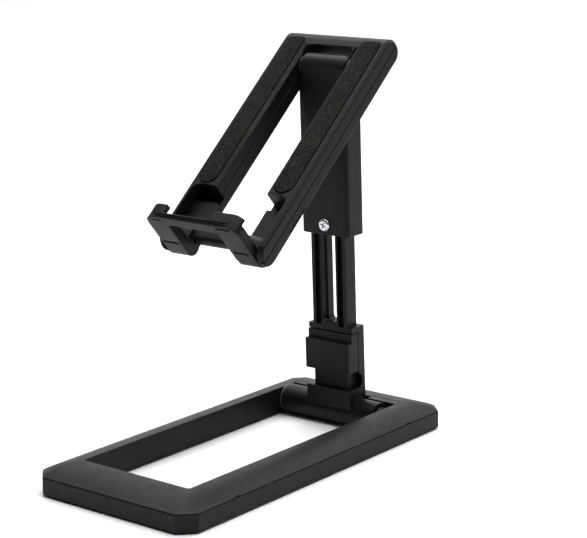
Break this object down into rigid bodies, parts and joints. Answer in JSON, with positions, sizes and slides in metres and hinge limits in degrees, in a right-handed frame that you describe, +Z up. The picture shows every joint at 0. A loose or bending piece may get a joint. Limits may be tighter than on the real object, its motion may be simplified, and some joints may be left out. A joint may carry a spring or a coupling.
{
  "type": "phone stand",
  "caption": "Folding desk stand: ring base, hinged column with a sliding sleeve, and a tilting padded cradle whose hinged ledge catches the phone's lower edge.",
  "frame": {"origin": "on the table, under the centre of the base ring", "axes": "+Z up, the user on the -Y side, the column at the +Y end, +X along the fold axis"},
  "size_m": [0.0794, 0.165, 0.1641],
  "materials": {
    "black_plastic": "satin black",
    "foam": "closed-cell foam",
    "rubber": "matte",
    "steel": "bright plated",
    "nylon": "matte"
  },
  "bodies": {
    "base": {"base_top_shell": "black_plastic", "base_bottom_tray": "black_plastic", "foot_1": "rubber", "foot_2": "rubber", "foot_3": "rubber", "foot_4": "rubber", "base_screw_1": "steel", "base_screw_2": "steel", "base_screw_3": "steel", "base_screw_4": "steel", "fold_pin": "steel", "fold_pin_nut": "steel", "fold_washer_left": "nylon", "fold_washer_right": "nylon"},
    "column": {"column_body": "black_plastic", "column_front_cover": "black_plastic", "cover_screw_left": "steel", "cover_screw_right": "steel"},
    "sleeve_body": {"sleeve": "black_plastic", "lock_screw": "steel", "lock_shoe": "nylon", "lock_nut": "steel"},
    "cradle": {"cradle_front_frame": "black_plastic", "cradle_back_shell": "black_plastic", "pad_right": "foam", "pad_left": "foam", "tilt_pin": "steel", "tilt_washer_left": "nylon", "tilt_washer_right": "nylon", "cradle_screw_1": "steel", "cradle_screw_2": "steel", "cradle_screw_3": "steel", "cradle_screw_4": "steel", "ledge_pin": "steel"},
    "ledge_body": {"ledge": "black_plastic"}
  },
  "joints": [
    {"name": "column_fold", "type": "hinge", "parent": "base", "child": "column", "pos_m": [0, 0.0582, 0.0064], "axis": [1, 0, 0], "range_deg": [-15, 25]},
    {"name": "sleeve_slide", "type": "slide", "parent": "column", "child": "sleeve_body", "axis": [0, -0.0318, 0.9995], "range_m": [-0.039, 0]},
    {"name": "cradle_tilt", "type": "hinge", "parent": "sleeve_body", "child": "cradle", "pos_m": [0, 0.05377, 0.15223], "axis": [1, 0, 0], "range_deg": [-45, 44]},
    {"name": "ledge_fold", "type": "hinge", "parent": "cradle", "child": "ledge_body", "pos_m": [0, -0.01513, 0.09141], "axis": [1, 0, 0], "range_deg": [-90, 0]}
  ]
}
